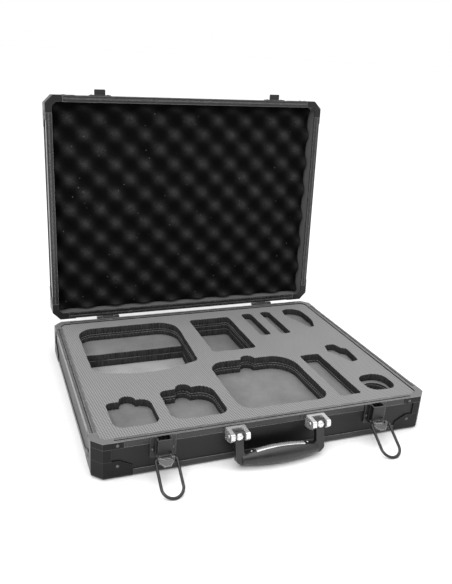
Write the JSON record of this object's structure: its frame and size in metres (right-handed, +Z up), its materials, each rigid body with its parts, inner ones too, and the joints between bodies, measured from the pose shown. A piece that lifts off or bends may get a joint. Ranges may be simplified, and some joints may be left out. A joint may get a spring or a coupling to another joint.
{
  "type": "carrying case",
  "caption": "Hard-sided carrying case with a metal frame, shown open, with fitted foam in the base, egg-crate foam in the lid, latches and a carrying handle.",
  "frame": {"origin": "middle of the underside of the base, on the surface the case lies on", "axes": "+X along the width, to the right when seen from the front; -Y towards the front with the handle and latches; +Z up"},
  "size_m": [0.4618, 0.47, 0.4123],
  "materials": {
    "panel": "satin laminate",
    "frame_metal": "black anodised",
    "rivet_metal": "satin",
    "plate_metal": "satin black",
    "bright_metal": "polished",
    "grip_plastic": "satin",
    "wire": "dark",
    "pin_steel": "satin",
    "grey_foam": "soft cut foam",
    "black_foam": "soft egg-crate foam",
    "felt": "felt"
  },
  "bodies": {
    "base": {"base_back_board": "panel", "base_back_rim": "frame_metal", "base_corner_guards": "frame_metal", "base_corner_posts": "frame_metal", "base_edge_trims": "frame_metal", "base_felt": "felt", "base_floor_board": "panel", "base_front_board": "panel", "base_front_rim": "frame_metal", "base_left_board": "panel", "base_left_rim": "frame_metal", "base_right_board": "panel", "base_right_rim": "frame_metal", "base_rim_caps": "frame_metal", "base_rivets": "rivet_metal", "foam_layer_1": "grey_foam", "foam_layer_2": "grey_foam", "foam_layer_3": "grey_foam", "foam_layer_4": "grey_foam", "handle_bracket_left": "bright_metal", "handle_bracket_right": "bright_metal", "handle_pins": "bright_metal", "hinge_leaf_base_left": "plate_metal", "hinge_leaf_base_right": "plate_metal", "hinge_pin_left": "pin_steel", "hinge_pin_right": "pin_steel", "latch_plate_left": "plate_metal", "latch_plate_right": "plate_metal", "lever_pin_left": "pin_steel", "lever_pin_right": "pin_steel"},
    "lid": {"hinge_leaf_lid_left": "plate_metal", "hinge_leaf_lid_right": "plate_metal", "lid_back_board": "panel", "lid_back_rim": "frame_metal", "lid_catch_left": "plate_metal", "lid_catch_right": "plate_metal", "lid_corner_guards": "frame_metal", "lid_corner_posts": "frame_metal", "lid_corner_rivets": "rivet_metal", "lid_edge_trims": "frame_metal", "lid_foam": "black_foam", "lid_front_board": "panel", "lid_front_rim": "frame_metal", "lid_left_board": "panel", "lid_left_rim": "frame_metal", "lid_lining": "felt", "lid_plate_rivets": "rivet_metal", "lid_right_board": "panel", "lid_right_rim": "frame_metal", "lid_rim_caps": "frame_metal", "lid_top_board": "panel"},
    "handle": {"handle": "grip_plastic", "handle_insert": "bright_metal", "handle_studs": "bright_metal"},
    "lever_left": {"latch_lever_left": "plate_metal"},
    "lever_right": {"latch_lever_right": "plate_metal"},
    "bail_left": {"latch_bail_left": "wire"},
    "bail_right": {"latch_bail_right": "wire"}
  },
  "joints": [
    {"name": "lid_hinge", "type": "hinge", "parent": "base", "child": "lid", "pos_m": [0, 0.1787, 0.0497], "axis": [1, 0, 0], "range_deg": [0, 93.6]},
    {"name": "handle_swing", "type": "hinge", "parent": "base", "child": "handle", "pos_m": [0, -0.187, 0.0425], "axis": [-1, 0, 0], "range_deg": [0, 90]},
    {"name": "lever_left_turn", "type": "hinge", "parent": "base", "child": "lever_left", "pos_m": [-0.1463, -0.1825, 0.028], "axis": [1, 0, 0], "range_deg": [-25, 60]},
    {"name": "lever_right_turn", "type": "hinge", "parent": "base", "child": "lever_right", "pos_m": [0.1463, -0.1825, 0.028], "axis": [1, 0, 0], "range_deg": [-25, 60]},
    {"name": "bail_left_swing", "type": "hinge", "parent": "lever_left", "child": "bail_left", "pos_m": [-0.1463, -0.1903, 0.028], "axis": [-1, 0, 0], "range_deg": [-68, 130]},
    {"name": "bail_right_swing", "type": "hinge", "parent": "lever_right", "child": "bail_right", "pos_m": [0.1463, -0.1903, 0.028], "axis": [-1, 0, 0], "range_deg": [-68, 130]}
  ]
}
